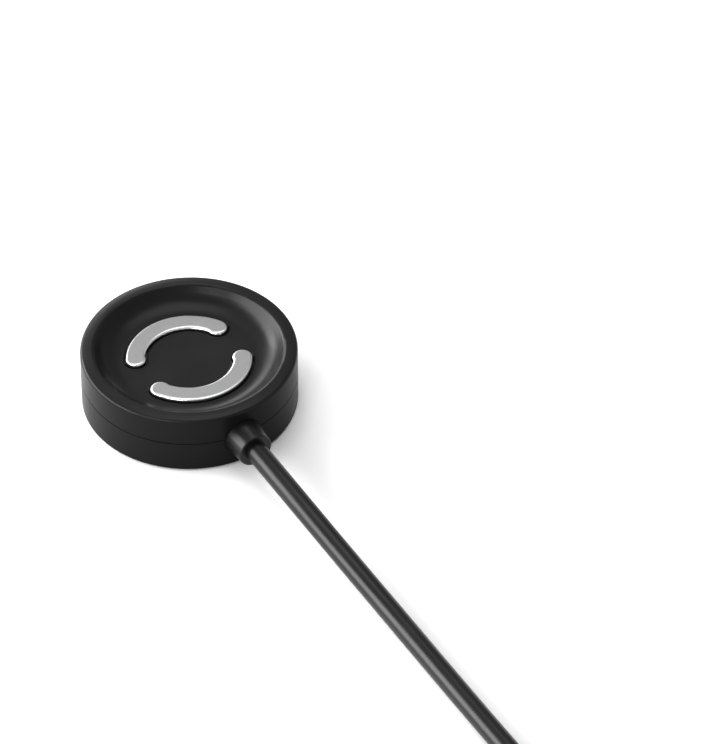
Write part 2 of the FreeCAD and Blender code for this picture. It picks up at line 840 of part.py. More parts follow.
def long_ring(sketch, half_straight, radius):
    """Outline with two straight sides along Y and round ends, about the origin."""
    top, bottom = (0, half_straight), (0, -half_straight)
    right = sketch.addGeometry(
        Part.LineSegment(flat(radius, -half_straight), flat(radius, half_straight))
    )
    upper = sketch.addGeometry(
        arc_edge(flat(*top), flat(radius, half_straight), flat(-radius, half_straight))
    )
    left = sketch.addGeometry(
        Part.LineSegment(flat(-radius, half_straight), flat(-radius, -half_straight))
    )
    lower = sketch.addGeometry(
        arc_edge(flat(*bottom), flat(-radius, -half_straight), flat(radius, -half_straight))
    )
    loop = [right, upper, left, lower]
    for edge, after in zip(loop, loop[1:] + loop[:1]):
        sketch.addConstraint(Sketcher.Constraint("Tangent", edge, 2, after, 1))
    sketch.addConstraint(Sketcher.Constraint("Vertical", right))
    driven(sketch, radius, "Radius", upper)
    pin_point(sketch, upper, 3, *top)
    pin_point(sketch, lower, 3, *bottom)


def make_cord_hank():
    """Outer form of the wound turns, which lie a little higher on the tie."""
    body = new_body("cord_hank")
    loop = new_sketch(body, "HankOuter")
    long_ring(loop, hank_straight / 2, hank_outer)
    pad(body, loop, hank_height, "Hank")
    hollow = new_sketch(body, "HankInner", "XY_Plane", hank_height)
    long_ring(hollow, hank_straight / 2, hank_inner)
    pocket(body, hollow, hank_height * 2, "HankHollow")
    on_face = lambda e: e.BoundBox.ZLength < 1e-6
    soften(body, on_face, hank_round, "HankEdges", "Chamfer")
    half = tie_width / 2 + tie_sheet
    gap = new_sketch(body, "TieGapSketch", "XY_Plane", hank_height)
    rectangle(gap, -hank_outer * 1.1, -hank_inner * 0.9, tie_offset - half, tie_offset + half)
    pocket(body, gap, hank_height * 2, "TieGap")
    start = -(tie_offset + half)
    lifted = new_sketch(body, "LiftedSketch", "XZ_Plane", start, tie_side, tied_middle)
    rounded_rectangle(lifted, hank_width, hank_height, hank_round)
    pad(body, lifted, half * 2, "Lifted")
    place(body, hank_centre_x, hank_centre_y, 0)
    return body


def make_cord_tie():
    """Flat band round one side of the hank."""
    body = new_body("cord_tie")
    inside_width = hank_width + tie_gap * 2
    inside_height = hank_height + tie_gap * 2
    band = new_sketch(body, "TieOuterSketch")
    inner_corner = hank_round + tie_gap
    outer_corner = inner_corner + tie_sheet
    rounded_rectangle(
        band, inside_width + tie_sheet * 2, inside_height + tie_sheet * 2, outer_corner
    )
    pad(body, band, tie_width, "TieBand")
    hollow = new_sketch(body, "TieInnerSketch", "XY_Plane", tie_width)
    rounded_rectangle(hollow, inside_width, inside_height, inner_corner)
    pocket(body, hollow, tie_width * 2, "TieHollow")
    north = hank_centre_y + tie_offset + tie_width / 2
    place(body, hank_centre_x + tie_side, north, tied_middle, LIE_DOWN)
    return body


def place_on_plug(body):
    """Plug pieces are drawn from the boot's end along Z, and laid on the hank."""
    place(body, plug_x, plug_end, plug_axis, LIE_DOWN)


def make_plug_grip():
    body = new_body("plug_grip")
    boot = new_sketch(body, "BootProfile", "XZ_Plane")
    overlap = shoulder_length / 2
    corners = [(0, 0), (boot_thin, 0), (boot_thick, boot_length)]
    corners += [(boot_thick, boot_length + overlap), (0, boot_length + overlap)]
    outline(boot, corners)
    revolve(body, boot, "Boot")
    for i in range(3):
        start = boot_pitch * (i + 0.8)
        groove_sketch = new_sketch(body, f"BootGroove{i + 1}Sketch", "XY_Plane", start)
        circle(groove_sketch, boot_thick * 1.3)
        root = boot_thin + (boot_thick - boot_thin) * (start / boot_length)
        circle(groove_sketch, root - boot_groove_depth)
        pocket(body, groove_sketch, boot_groove, f"BootGroove{i + 1}", forward=True)
    small = new_sketch(body, "ShoulderStart", "XY_Plane", boot_length)
    rounded_rectangle(small, shoulder_width, shoulder_height, shoulder_corner)
    large = new_sketch(body, "ShoulderEnd", "XY_Plane", boot_length + shoulder_length)
    rounded_rectangle(large, grip_width, grip_height, grip_corner)
    loft = body.newObject("PartDesign::AdditiveLoft", "Shoulder")
    loft.Profile = small
    loft.Sections = [large]
    block = new_sketch(body, "GripSketch", "XY_Plane", boot_length + shoulder_length)
    rounded_rectangle(block, grip_width, grip_height, grip_corner)
    pad(body, block, grip_length - shoulder_length, "Grip")

    def front_edge(edge):
        return abs(edge.BoundBox.ZMin - grip_end.value) < 1e-4

    soften(body, front_edge, grip_round, "GripRound")
    slots = new_sketch(body, "RibSlotSketch", "XZ_Plane", -(grip_height / 2 - rib_slot_depth))
    for i in range(4):
        low = boot_length + rib_slot_start + rib_slot_pitch * i
        rectangle(slots, -rib_slot_half, rib_slot_half, low, low + rib_slot_width)
    upper = pocket(body, slots, grip_height / 4, "RibSlots")
    mirror = body.newObject("PartDesign::Mirrored", "RibSlotsBelow")
    mirror.Originals = [upper]
    mirror.MirrorPlane = (plane(body, "XZ_Plane"), [""])
    body.Tip = mirror
    seat = new_sketch(body, "ShellSeatSketch", "XY_Plane", grip_end)
    rounded_rectangle(
        seat, shell_width + tongue_gap * 2, shell_height + tongue_gap * 2, shell_corner
    )
    pocket(body, seat, shell_buried, "ShellSeat")
    place_on_plug(body)
    return body


def make_plug_shell():
    body = new_body("plug_shell")
    sleeve = new_sketch(body, "ShellSketch", "XY_Plane", shell_start)
    rounded_rectangle(sleeve, shell_width, shell_height, shell_corner)
    pad(body, sleeve, shell_end - shell_start, "Sleeve")
    hollow = new_sketch(body, "ShellHollowSketch", "XY_Plane", shell_end)
    inside = shell_corner - shell_sheet
    rounded_rectangle(
        hollow, shell_width - shell_sheet * 2, shell_height - shell_sheet * 2, inside
    )
    pocket(body, hollow, (shell_end - shell_start) * 1.5, "ShellHollow")
    windows = new_sketch(body, "WindowSketch", "XZ_Plane", -shell_height)
    low = shell_end - window_back
    for side in (-1, 1):
        centre = shell_width / 4 * side
        left, right = centre - window_width / 2, centre + window_width / 2
        rectangle(windows, left, right, low, low + window_length)
    pocket(body, windows, shell_height * 2, "Windows", forward=True)
    place_on_plug(body)
    return body


def contact_reach(i):
    """Sideways place and free end of contact i, from 0 to 3."""
    side = (-1, -1, 1, 1)[i]
    inner = i in (1, 2)
    x = (contact_inner if inner else contact_outer) * side
    end = shell_end - tongue_back - (contact_short if inner else contact_long)
    return x, end


def tongue_faces():
    """Heights of the tongue's back and contact faces above the plug's axis."""
    back = shell_inside_half - tongue_gap
    return back, back - tongue_thickness


def make_plug_tongue():
    """Insulator: a block that fills the back of the sleeve, and the thin tongue."""
    body = new_body("plug_tongue")
    half = shell_width / 2 - shell_sheet - tongue_gap
    back, face = tongue_faces()
    block = new_sketch(body, "BlockSketch", "XY_Plane", shell_start)
    rounded_rectangle(block, half * 2, back * 2, shell_corner - shell_sheet)
    pad(body, block, shell_end - tongue_back - shell_start, "Block")
    room = new_sketch(body, "RoomSketch", "XY_Plane", shell_end)
    rectangle(room, -shell_width, shell_width, -shell_height, face)
    pocket(body, room, shell_end - shell_start - block_length, "Room")
    grooves = new_sketch(body, "GrooveSketch", "XY_Plane", shell_end)
    for i in range(4):
        x, _ = contact_reach(i)
        groove_half = contact_width / 2 + contact_gap
        top = face + contact_sunk
        rectangle(grooves, x - groove_half, x + groove_half, face - contact_sunk, top)
    pocket(body, grooves, shell_end - shell_start - block_length, "ContactGrooves")
    place_on_plug(body)
    return body


def make_plug_contact(i):
    body = new_body(f"plug_contact_{i + 1}")
    x, end = contact_reach(i)
    _, face = tongue_faces()
    start = shell_start + block_length
    strip = new_sketch(body, "ContactSketch", "XY_Plane", start)
    half = contact_width / 2
    top = face + contact_sunk
    rectangle(strip, x - half, x + half, top - contact_thickness, top)
    pad(body, strip, end - start, "Strip")
    place_on_plug(body)
    return body


make_bottom_cover()
make_base_pad()
make_top_housing()
make_contact_plate("contact_plate_rear", 0)
make_contact_plate("contact_plate_front", 180)
for number, quarter in enumerate((45, 135, 225, 315), start=1):
    make_contact_spring(f"contact_spring_{number}", quarter)
make_circuit_board()
make_chip("board_fuse", -(chip_gap / 2 + chip_length))
make_chip("board_capacitor", chip_gap / 2)
make_magnet()
make_magnet_yoke()
make_strain_relief()

# Routes, as chosen points from the dock outwards. The cord drifts down to the table.
wire_top = board_top.value + wire_diameter.value / 2
for label, side in (("wire_positive", 1), ("wire_negative", -1)):
    wire_route = [
        V(0.6 * side, -nose_end.value, cord_axis.value),
        V(0.6 * side, -nose_end.value + 1.3, cord_axis.value),
        V(1.5 * side, -nose_end.value + 2.9, wire_top + 0.02),
    ]
    make_tube(label, wire_route, wire_diameter.value)

run_route = [
    V(0.0, -19.0, 4.6),
    V(-0.03, -28.0, 4.56),
    V(0.74, -41.0, 2.83),
    V(1.33, -55.0, 1.62),
    V(1.26, -76.0, 1.6),
    V(1.45, -95.0, 1.6),
    V(1.7, -105.4, 1.6),
]
make_tube("cord_run", run_route, cord_diameter.value)

tail_route = [
    V(-31.5, -125.8, 5.2),
    V(-31.7, -119.0, 6.0),
    V(-32.2, -112.0, 8.1),
    V(-32.5, -99.0, 8.4),
    V(-22.93, -89.6, 8.8),
    V(-8.67, -89.6, 9.6),
    V(0.7, -99.0, 10.1),
    V(0.7, -111.0, 10.15),
]
make_tube("cord_tail", tail_route, cord_diameter.value)

make_cord_hank()
make_cord_tie()
make_plug_grip()
make_plug_shell()
make_plug_tongue()
for number in range(4):
    make_plug_contact(number)

doc.recompute()
for thing in doc.Objects:
    if any(word in thing.State for word in ("Invalid", "Error")):
        raise ValueError(f"{thing.Label} failed: {thing.State}")
for node in nodes:
    if node.Shape.isNull() or not node.Shape.isValid() or not node.Shape.Solids:
        raise ValueError(f"{node.Label} has no valid solid")
for node in nodes:
    node.Shape.exportStep(f"parts/{node.Label}.step")
print(len(nodes), "nodes written")
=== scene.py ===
"""Looks of a smartwatch charging dock: its finishes, cord, tie, table, camera and light."""

from __future__ import annotations

import logging
import math
from collections.abc import Iterable
from dataclasses import dataclass, field
from enum import Enum

import bmesh
import bpy
from mathutils import Matrix, Vector

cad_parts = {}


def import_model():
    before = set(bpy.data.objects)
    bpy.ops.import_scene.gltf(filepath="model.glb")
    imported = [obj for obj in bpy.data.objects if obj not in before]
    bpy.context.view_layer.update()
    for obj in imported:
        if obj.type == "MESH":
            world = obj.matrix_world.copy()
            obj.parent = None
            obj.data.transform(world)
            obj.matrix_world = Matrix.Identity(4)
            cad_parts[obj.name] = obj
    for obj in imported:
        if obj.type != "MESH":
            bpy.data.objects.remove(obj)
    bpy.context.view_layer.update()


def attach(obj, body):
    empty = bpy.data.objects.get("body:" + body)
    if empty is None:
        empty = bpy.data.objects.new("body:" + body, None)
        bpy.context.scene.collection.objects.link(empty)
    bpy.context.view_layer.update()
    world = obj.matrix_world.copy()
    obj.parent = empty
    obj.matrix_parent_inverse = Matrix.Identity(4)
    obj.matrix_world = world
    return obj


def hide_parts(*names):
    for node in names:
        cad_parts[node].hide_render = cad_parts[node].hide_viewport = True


LOG = logging.getLogger("dock")
MM = 0.001
# A Mix node's sockets by number, since those for numbers and colours share their names
FACTOR, NUMBER_A, NUMBER_B, COLOUR_A, COLOUR_B, COLOUR_OUT = 0, 2, 3, 6, 7, 2
# Range that the noise of a clouded surface fills
CLOUD_RANGE = {"From Min": 0.1, "From Max": 0.9}
# How far roughness falls and rises across those clouds
GLOSS_FALL, GLOSS_RISE = 0.03, 0.05
# A wave texture's period is this over its scale
WAVE_PERIOD = 0.314

Colour = tuple[float, float, float, float]
Point = tuple[float, float, float]


def linear(hex_colour: str, factor: float = 1.0) -> Colour:
    """Turns an sRGB colour into linear light.

    Args:
        hex_colour: Six hex digits after a hash.
        factor: Makes the colour lighter, above 1, or darker.

    Returns:
        Red, green, blue and a full alpha.
    """
    parts = [int(hex_colour[i : i + 2], 16) / 255 for i in (1, 3, 5)]
    light = [c / 12.92 if c <= 0.04045 else ((c + 0.055) / 1.055) ** 2.4 for c in parts]
    red, green, blue = (min(1.0, c * factor) for c in light)
    return red, green, blue, 1.0


def eased(share: float) -> float:
    """Smooth step from 0 to 1, held at its ends."""
    share = min(1.0, max(0.0, share))
    return share * share * (3 - 2 * share)


@dataclass
class Graph:
    """A node tree to which nodes are added with their settings and links."""

    tree: bpy.types.NodeTree

    def add(
        self, kind: str, links: dict[str | int, object] | None = None, **settings: object
    ) -> bpy.types.Node:
        """Adds a node.

        Args:
            kind: Node type without its "ShaderNode" start.
            links: Input name or number to a value, or to a socket to link from.
            **settings: The node's own properties.

        Returns:
            The node.
        """
        node = self.tree.nodes.new(f"ShaderNode{kind}")
        for name, value in settings.items():
            setattr(node, name, value)
        self.feed(node, links or {})
        return node

    def feed(self, node: bpy.types.Node, links: dict[str | int, object]) -> None:
        """Sets or links the inputs of a node.

        Args:
            node: The node.
            links: Input name or number to a value, or to a socket to link from.
        """
        for name, value in links.items():
            socket = node.inputs[name]
            if isinstance(value, bpy.types.NodeSocket):
                self.tree.links.new(value, socket)
            else:
                socket.default_value = value


@dataclass(frozen=True)
class Finish:
    """A surface finish. Each kind below is one real material with its own detail."""

    name: str
    colour: str
    roughness: float

    def build(self) -> bpy.types.Material:
        """Makes the material, or returns the one that was made before."""
        known = bpy.data.materials.get(self.name)
        if known is not None:
            return known
        material = bpy.data.materials.new(self.name)
        material.use_nodes = True
        graph = Graph(material.node_tree)
        shader = material.node_tree.nodes["Principled BSDF"]
        graph.feed(shader, {"Base Color": linear(self.colour), "Roughness": self.roughness})
        self.detail(graph, shader)
        return material

    def detail(self, graph: Graph, shader: bpy.types.Node) -> None:
        """Adds what makes this material more than one flat colour."""

    def clouded(self, graph: Graph, shader: bpy.types.Node, size_mm: float, tint: float) -> None:
        """Varies colour and gloss in soft clouds, as moulding and handling leave them.

        Args:
            graph: The material's nodes.
            shader: Its surface shader.
            size_mm: Size of one cloud.
            tint: Brightness of the light clouds against the dark ones.
        """
        place = graph.add("TexCoord").outputs["Object"]
        links = {"Vector": place, "Scale": 1 / (size_mm * MM), "Detail": 2.5}
        cloud = graph.add("TexNoise", links).outputs["Fac"]
        links = {"Value": cloud, **CLOUD_RANGE}
        share = graph.add("MapRange", links, interpolation_type="SMOOTHSTEP").outputs[0]
        shades = {COLOUR_A: linear(self.colour), COLOUR_B: linear(self.colour, tint)}
        mixed = graph.add("Mix", {FACTOR: share, **shades}, data_type="RGBA")
        colour = mixed.outputs[COLOUR_OUT]
        links["To Min"] = self.roughness - GLOSS_FALL
        links["To Max"] = self.roughness + GLOSS_RISE
        rough = graph.add("MapRange", links, interpolation_type="SMOOTHSTEP").outputs[0]
        graph.feed(shader, {"Base Color": colour, "Roughness": rough})


@dataclass(frozen=True)
class MouldedPlastic(Finish):
    """Plastic from a spark-eroded mould: fine even grain that softens each highlight."""

    grain_mm: float = 0.09
    grain_depth_mm: float = 0.004
    shine: float = 0.5

    def detail(self, graph: Graph, shader: bpy.types.Node) -> None:
        """Adds the grain, and clouds of gloss where fingers have polished it."""
        self.clouded(graph, shader, size_mm=6.0, tint=1.15)
        place = graph.add("TexCoord").outputs["Object"]
        links = {"Vector": place, "Scale": 1 / (self.grain_mm * MM), "Detail": 3.0}
        grain = graph.add("TexNoise", links).outputs["Fac"]
        bump = graph.add("Bump", {"Height": grain, "Distance": self.grain_depth_mm * MM})
        graph.feed(shader, {"Normal": bump.outputs[0], "Specular IOR Level": self.shine})


@dataclass(frozen=True)
class DraftedPlastic(MouldedPlastic):
    """Moulded plastic whose upright walls slid along the mould and came out duller."""

    wall_shine: float = 0.12
    # Upward part of the surface direction, where a wall ends and where a face begins
    wall_below: float = 0.15
    face_above: float = 0.55

    def detail(self, graph: Graph, shader: bpy.types.Node) -> None:
        """Adds the grain, and takes shine from whatever stands upright."""
        super().detail(graph, shader)
        slope = graph.add("SeparateXYZ", {0: graph.add("TexCoord").outputs["Normal"]})
        links = {"Value": slope.outputs["Z"]}
        links |= {"From Min": self.wall_below, "From Max": self.face_above}
        links |= {"To Min": self.wall_shine, "To Max": self.shine}
        graph.feed(shader, {"Specular IOR Level": graph.add("MapRange", links).outputs[0]})


@dataclass(frozen=True)
class ExtrudedJacket(Finish):
    """Soft thermoplastic rubber drawn through a die: smooth, with a faint orange peel."""

    peel_mm: float = 0.4
    peel_depth_mm: float = 0.006
    shine: float = 0.5

    def detail(self, graph: Graph, shader: bpy.types.Node) -> None:
        """Adds the orange peel, and dull patches where the jacket was handled."""
        self.clouded(graph, shader, size_mm=9.0, tint=1.2)
        place = graph.add("TexCoord").outputs["Object"]
        links = {"Vector": place, "Scale": 1 / (self.peel_mm * MM), "Detail": 3.0}
        peel = graph.add("TexNoise", links).outputs["Fac"]
        bump = graph.add("Bump", {"Height": peel, "Distance": self.peel_depth_mm * MM})
        graph.feed(shader, {"Normal": bump.outputs[0], "Specular IOR Level": self.shine})


@dataclass(frozen=True)
class PlatedMetal(Finish):
    """Satin plating: fine rubbing marks that run one way, and slightly uneven gloss."""

    mark_mm: float = 0.08
    mark_length_mm: float = 1.2
    mark_depth_mm: float = 0.0008

    def detail(self, graph: Graph, shader: bpy.types.Node) -> None:
        """Adds marks drawn out along X, coarser than real ones so that they show."""
        self.clouded(graph, shader, size_mm=2.5, tint=0.86)
        place = graph.add("TexCoord").outputs["Object"]
        long, short = 1 / (self.mark_length_mm * MM), 1 / (self.mark_mm * MM)
        drawn = graph.add("Mapping", {"Vector": place, "Scale": (long, short, short)})
        marks = graph.add("TexNoise", {"Vector": drawn.outputs[0], "Scale": 1.0, "Detail": 4.0})
        links = {"Height": marks.outputs["Fac"], "Distance": self.mark_depth_mm * MM}
        normal = graph.add("Bump", links).outputs[0]
        graph.feed(shader, {"Normal": normal, "Metallic": 1.0})


@dataclass(frozen=True)
class NickelWithPaintedEdgeHighlight(PlatedMetal):
    """Satin nickel with a painted highlight on its rounded edges: near-white colour there, with
    the lower roughness that tumbling leaves.
    """

    # Colour of the painted highlight on the rounded edges
    painted_highlight_colour: str = "#f6f6f6"
    edge_roughness: float = 0.2
    # Upward part of the surface direction, where the flat ends and where the edge's painted
    # highlight is full
    flat_above: float = 0.97
    edge_below: float = 0.86

    def detail(self, graph: Graph, shader: bpy.types.Node) -> None:
        """Adds the marks, then paints a highlight on whatever slopes away from the flat face,
        and makes it smoother there.
        """
        super().detail(graph, shader)
        slope = graph.add("SeparateXYZ", {0: graph.add("TexCoord").outputs["Normal"]})
        links = {"Value": slope.outputs["Z"]}
        links |= {"From Min": self.flat_above, "From Max": self.edge_below}
        edge = graph.add("MapRange", links).outputs[0]
        face = shader.inputs["Base Color"].links[0].from_socket
        # Mixes in near-white by slope: a painted highlight along the rounded edges
        shades = {FACTOR: edge, COLOUR_A: face, COLOUR_B: linear(self.painted_highlight_colour)}
        colour = graph.add("Mix", shades, data_type="RGBA").outputs[COLOUR_OUT]
        satin = shader.inputs["Roughness"].links[0].from_socket
        levels = {FACTOR: edge, NUMBER_A: satin, NUMBER_B: self.edge_roughness}
        rough = graph.add("Mix", levels).outputs[0]
        graph.feed(shader, {"Base Color": colour, "Roughness": rough})


@dataclass(frozen=True)
class WovenNylon(Finish):
    """Woven tape: crossing threads that stand up from the band, with a soft sheen."""

    thread_mm: float = 0.45
    thread_depth_mm: float = 0.08
    thread_tint: float = 2.2

    def detail(self, graph: Graph, shader: bpy.types.Node) -> None:
        """Adds the weave along and across the band, coarser than real so that it shows."""
        band = graph.add("TexCoord").outputs["UV"]
        scale = WAVE_PERIOD / (self.thread_mm * MM)
        waves = [
            graph.add("TexWave", {"Vector": band, "Scale": scale}, bands_direction=way)
            for way in ("X", "Y")
        ]
        crossed = {0: waves[0].outputs["Fac"], 1: waves[1].outputs["Fac"]}
        weave = graph.add("Math", crossed, operation="MAXIMUM").outputs[0]
        light = linear(self.colour, self.thread_tint)
        shades = {FACTOR: weave, COLOUR_A: linear(self.colour), COLOUR_B: light}
        colour = graph.add("Mix", shades, data_type="RGBA").outputs[COLOUR_OUT]
        links = {"Height": weave, "Distance": self.thread_depth_mm * MM}
        normal = graph.add("Bump", links).outputs[0]
        graph.feed(shader, {"Base Color": colour, "Normal": normal, "Sheen Weight": 0.3})


@dataclass(frozen=True)
class SolderResist(Finish):
    """Glass-fibre board under green resist: raised tracks show a lighter green."""

    track_mm: float = 1.1
    track_share: float = 0.12
    track_tint: float = 1.7
    track_depth_mm: float = 0.02

    def detail(self, graph: Graph, shader: bpy.types.Node) -> None:
        """Adds the tracks, and the gloss of the resist over them."""
        place = graph.add("TexCoord").outputs["Object"]
        links = {"Vector": place, "Scale": 1 / (self.track_mm * MM)}
        cells = graph.add("TexVoronoi", links, feature="DISTANCE_TO_EDGE").outputs["Distance"]
        links = {"Value": cells, "From Max": self.track_share, "To Min": 1.0, "To Max": 0.0}
        tracks = graph.add("MapRange", links).outputs[0]
        light = linear(self.colour, self.track_tint)
        shades = {FACTOR: tracks, COLOUR_A: linear(self.colour), COLOUR_B: light}
        colour = graph.add("Mix", shades, data_type="RGBA").outputs[COLOUR_OUT]
        links = {"Height": tracks, "Distance": self.track_depth_mm * MM}
        normal = graph.add("Bump", links).outputs[0]
        graph.feed(shader, {"Base Color": colour, "Normal": normal, "Coat Weight": 0.4})


# Moulded ABS case: deep satin black, its grain keeps each highlight broad and low
CASE = DraftedPlastic("SatinAbs", "#1c1c1c", 0.3, shine=0.3)
# Moulded ABS of the plug's grip: a little greyer and duller, for a hold
GRIP = MouldedPlastic("MattAbs", "#1d1d1e", 0.45)
# Foamed silicone pad: matt dark grey with open pores
PAD = MouldedPlastic("SiliconeFoam", "#2c2c2c", 0.85, grain_mm=0.25, grain_depth_mm=0.02)
# Extruded rubber of the cord and its strain relief: one clean soft line of light
JACKET = ExtrudedJacket("RubberJacket", "#141414", 0.3)
# Extruded PVC of the two wires: plain strong colour with a waxy gloss
RED_WIRE = ExtrudedJacket("RedPvc", "#a01418", 0.4)
BLACK_WIRE = ExtrudedJacket("BlackPvc", "#151515", 0.4)
# Tumbled satin nickel of the contact plates: even light grey, with a painted highlight on its
# edges
PLATE = NickelWithPaintedEdgeHighlight("SatinNickel", "#b4b4b5", 0.34)
# Bright nickel of the plug's sleeve and the magnet: a sharper, whiter mirror
NICKEL = PlatedMetal("BrightNickel", "#c9c9cb", 0.2)
# Rolled phosphor bronze of the springs: warm reddish gold, lightly brushed
SPRING = PlatedMetal("PhosphorBronze", "#c98f55", 0.3)
# Hard gold over nickel on the plug's contacts: clear yellow
GOLD = PlatedMetal("HardGold", "#e0b765", 0.22)
# Cold-rolled steel disc behind the magnet: dull mid grey
YOKE = PlatedMetal("RolledSteel", "#8f9092", 0.4)
# Glass-fibre board under solder resist: glossy green with lighter tracks
BOARD = SolderResist("GreenResist", "#0f5a33", 0.35)
# Fired ceramic of the fuse and the capacitor: brown, chalky and fine-grained
CHIP = MouldedPlastic("FiredCeramic", "#5a4a3c", 0.5, grain_mm=0.06, grain_depth_mm=0.003)
# Moulded nylon of the plug's tongue: warm white
INSULATOR = MouldedPlastic("WhiteNylon", "#e4e4e0", 0.4)
# Woven nylon tape of the tie: soft dark grey with a lighter thread on top
TAPE = WovenNylon("WovenNylon", "#1b1b1c", 0.8)


def dress(finishes: dict[str, Finish]) -> None:
    """Gives CAD nodes their finish.

    Args:
        finishes: Node name to finish.
    """
    for name, finish in finishes.items():
        material = finish.build()
        for slot in bpy.data.objects[name].material_slots:
            slot.material = material
        LOG.info("%s: %s", name, finish.name)


@dataclass
class Dock:
    """The round case with its contact plates, strain relief, pad and insides."""

    springs: int = 4

    def build(self) -> None:
        """Dresses every piece of the dock."""
        dress({"top_housing": CASE, "bottom_cover": CASE, "base_pad": PAD})
        dress({"contact_plate_front": PLATE, "contact_plate_rear": PLATE})
        dress({"strain_relief": JACKET})
        dress({f"contact_spring_{i + 1}": SPRING for i in range(self.springs)})
        dress({"circuit_board": BOARD, "board_fuse": CHIP, "board_capacitor": CHIP})
        dress({"magnet": NICKEL, "magnet_yoke": YOKE})
        dress({"wire_positive": RED_WIRE, "wire_negative": BLACK_WIRE})


@dataclass
class Plug:
    """The power plug that lies on the hank."""

    contacts: int = 4

    def contact_nodes(self) -> list[str]:
        """Names of the contacts' CAD nodes."""
        return [f"plug_contact_{i + 1}" for i in range(self.contacts)]

    def nodes(self) -> list[str]:
        """Names of all the plug's CAD nodes."""
        return ["plug_grip", "plug_shell", "plug_tongue", *self.contact_nodes()]

    def build(self) -> None:
        """Dresses every piece of the plug."""
        dress({"plug_grip": GRIP, "plug_shell": NICKEL, "plug_tongue": INSULATOR})
        dress({name: GOLD for name in self.contact_nodes()})


class Shift(Enum):
    """Stretch of the north fold over which a turn changes over to the next one."""

    OUTWARD = (-0.1, 0.5)
    CLIMB = (0.2, 0.8)
    INWARD = (0.5, 1.1)


@dataclass
class Hank:
    """The wound, put-away length: six turns of an oblong ring, in two layers.

    Sizes are in millimetres. The tie lies under the west side, which is lifted there.
    """

    centre_x: float = -14.9
    north_y: float = -105.4
    south_y: float = -138.0
    radii: tuple[float, float, float] = (16.6, 13.4, 10.2)
    low: float = 1.6
    rise: float = 3.2
    steps: int = 12
    side_shares: tuple[float, ...] = (0.25, 0.5, 0.75)
    tie_y: float = -130.0
    tie_half: float = 4.6
    tie_lift: float = 0.6
    tie_ramp: float = 5.0
    points: list[Point] = field(default_factory=list)

    def add(self, x: float, y: float, z: float) -> None:
        """Adds a point, raised where the west side lies on the tie."""
        share = 1 - (abs(y - self.tie_y) - self.tie_half) / self.tie_ramp
        lift = self.tie_lift * eased(share) if x < self.centre_x else 0.0
        self.points.append((x, y, z + lift))

    def north_fold(self, start: tuple[float, float], end: tuple[float, float]) -> None:
        """Adds the fold nearer to the dock, where one turn becomes the next.

        Args:
            start: Radius and height before the fold.
            end: Radius and height after it.
        """
        if start[1] != end[1]:
            shift = Shift.CLIMB
        else:
            shift = Shift.OUTWARD if start[0] < end[0] else Shift.INWARD
        begins, ends = shift.value
        for i in range(self.steps + 1):
            share = i / self.steps
            part = eased((share - begins) / (ends - begins))
            radius = start[0] + (end[0] - start[0]) * part
            angle = math.pi * (1 - share)
            x = self.centre_x + radius * math.cos(angle)
            y = self.north_y + radius * math.sin(angle)
            self.add(x, y, start[1] + (end[1] - start[1]) * part)

    def turn(self, radius: float, height: float, last: bool) -> None:
        """Adds the east side, the far fold and the west side of one turn.

        Args:
            radius: Half the turn's width.
            height: Height of the cord's middle.
            last: Whether the tail leaves this turn's west side.
        """
        span = self.north_y - self.south_y
        for share in self.side_shares:
            self.add(self.centre_x + radius, self.north_y - span * share, height)
        for i in range(self.steps + 1):
            angle = -math.pi * i / self.steps
            x = self.centre_x + radius * math.cos(angle)
            self.add(x, self.south_y + radius * math.sin(angle), height)
        back = tuple(reversed(self.side_shares))
        for share in back[:1] if last else back:
            self.add(self.centre_x - radius, self.north_y - span * share, height)

    def wind(self) -> list[Point]:
        """Winds every turn.

        Returns:
            Points in millimetres, from where the run joins the hank to where the tail
            leaves it.
        """
        turns = [(radius, self.low) for radius in self.radii]
        turns += [(radius, self.low + self.rise) for radius in reversed(self.radii)]
        for here, after in zip(turns, turns[1:]):
            self.turn(*here, last=False)
            self.north_fold(here, after)
        self.turn(*turns[-1], last=True)
        return self.points


@dataclass
class Cord:
    """The free cord, from the strain relief to the plug, as one smooth line."""

    diameter: float = 3.15
    length_m: float = 1.0
    steps_round: int = 6
    steps_along: int = 10
    run: tuple[Point, ...] = (
        (0.0, -19.0, 4.6),
        (-0.03, -28.0, 4.56),
        (0.74, -41.0, 2.83),
        (1.33, -55.0, 1.62),
        (1.26, -76.0, 1.6),
        (1.45, -95.0, 1.6),
    )
    tail: tuple[Point, ...] = (
        (-31.5, -125.8, 5.2),
        (-31.7, -119.0, 6.0),
        (-32.2, -112.0, 8.1),
        (-32.5, -99.0, 8.4),
        (-22.93, -89.6, 8.8),
        (-8.67, -89.6, 9.6),
        (0.7, -99.0, 10.1),
        (0.7, -111.0, 10.15),
    )

    def build(self) -> None:
        """Makes the cord's curve."""
        route = [*self.run, *Hank().wind(), *self.tail]
        curve = bpy.data.curves.new("cord", "CURVE")
        curve.dimensions = "3D"
        curve.bevel_depth = self.diameter / 2 * MM
        curve.bevel_resolution = self.steps_round
        curve.resolution_u = self.steps_along
        curve.use_fill_caps = True
        spline = curve.splines.new("NURBS")
        spline.points.add(len(route) - 1)
        for point, place in zip(spline.points, route):
            point.co = (*(value * MM for value in place), 1.0)
        spline.order_u = 3
        spline.use_endpoint_u = True
        piece = bpy.data.objects.new("cord", curve)
        bpy.context.scene.collection.objects.link(piece)
        curve.materials.append(JACKET.build())
        self.declare(piece)
        LOG.info("cord: %d points", len(route))

    def declare(self, piece: bpy.types.Object) -> None:
        """Attaches the cord to the dock's body and hides the CAD cord pieces that it stands in
        for.
        """
        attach(piece, "dock")
        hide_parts("cord_run", "cord_hank", "cord_tail")


